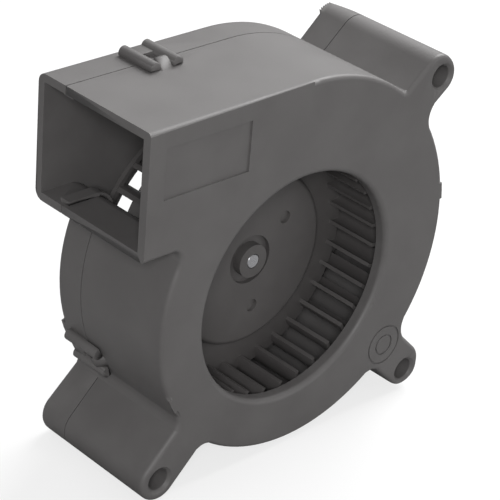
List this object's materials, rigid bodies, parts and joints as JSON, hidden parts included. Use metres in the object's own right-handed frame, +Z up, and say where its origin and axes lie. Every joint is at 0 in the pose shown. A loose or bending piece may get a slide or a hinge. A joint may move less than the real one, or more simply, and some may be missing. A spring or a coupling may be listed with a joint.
{
  "type": "dc blower fan",
  "caption": "Small DC centrifugal blower fan: two-shell scroll housing with side outlet and mounting lugs, forward-curved wheel and brushless motor.",
  "frame": {"origin": "where the rotor axis meets the rear face", "axes": "+Y out of the rear face along the rotor axis, inlet facing -Y, outlet facing -X, +Z up"},
  "size_m": [0.0777, 0.03, 0.0779],
  "materials": {
    "housing_plastic": "fine eroded mould texture, satin",
    "wheel_plastic": "moulded, satin",
    "steel": "ground",
    "zinc_steel": "plated",
    "ferrite": "bonded magnet, dull",
    "brass": "turned",
    "core_steel": "stacked laminations",
    "nylon": "moulded natural nylon",
    "enamelled_copper": "enamelled wire, glossy",
    "board_laminate": "solder mask",
    "chip_epoxy": "moulded epoxy",
    "ceramic": "fired ceramic"
  },
  "bodies": {
    "housing": {"front_casing": "housing_plastic", "rear_casing": "housing_plastic", "bearing_tube": "brass", "front_outer_ring": "steel", "front_shields": "zinc_steel", "rear_outer_ring": "steel", "rear_shields": "zinc_steel", "stator_core": "core_steel", "front_insulator": "nylon", "rear_insulator": "nylon", "coils": "enamelled_copper", "terminal_pins": "brass", "circuit_board": "board_laminate", "driver_chip": "chip_epoxy", "hall_sensor": "chip_epoxy", "capacitor": "ceramic", "resistors": "chip_epoxy"},
    "rotor": {"impeller": "wheel_plastic", "rotor_yoke": "zinc_steel", "magnet_ring": "ferrite", "shaft": "steel", "shaft_bush": "brass", "preload_spring": "steel", "spacer_washer": "nylon", "retaining_clip": "zinc_steel", "front_inner_ring": "steel", "rear_inner_ring": "steel"},
    "front_ball_set": {"front_balls": "steel", "front_cage": "brass"},
    "rear_ball_set": {"rear_balls": "steel", "rear_cage": "brass"}
  },
  "joints": [
    {"name": "rotor_spin", "type": "hinge", "parent": "housing", "child": "rotor", "pos_m": [0, 0, 0], "axis": [0, -1, 0], "continuous": true},
    {"name": "front_ball_spin", "type": "hinge", "parent": "housing", "child": "front_ball_set", "pos_m": [0, -0.0109, 0], "axis": [0, -1, 0], "continuous": true},
    {"name": "rear_ball_spin", "type": "hinge", "parent": "housing", "child": "rear_ball_set", "pos_m": [0, -0.0047, 0], "axis": [0, -1, 0], "continuous": true}
  ],
  "couplings": [
    {"joint": "front_ball_spin", "follows": "rotor_spin", "ratio": 0.358},
    {"joint": "rear_ball_spin", "follows": "rotor_spin", "ratio": 0.358}
  ]
}
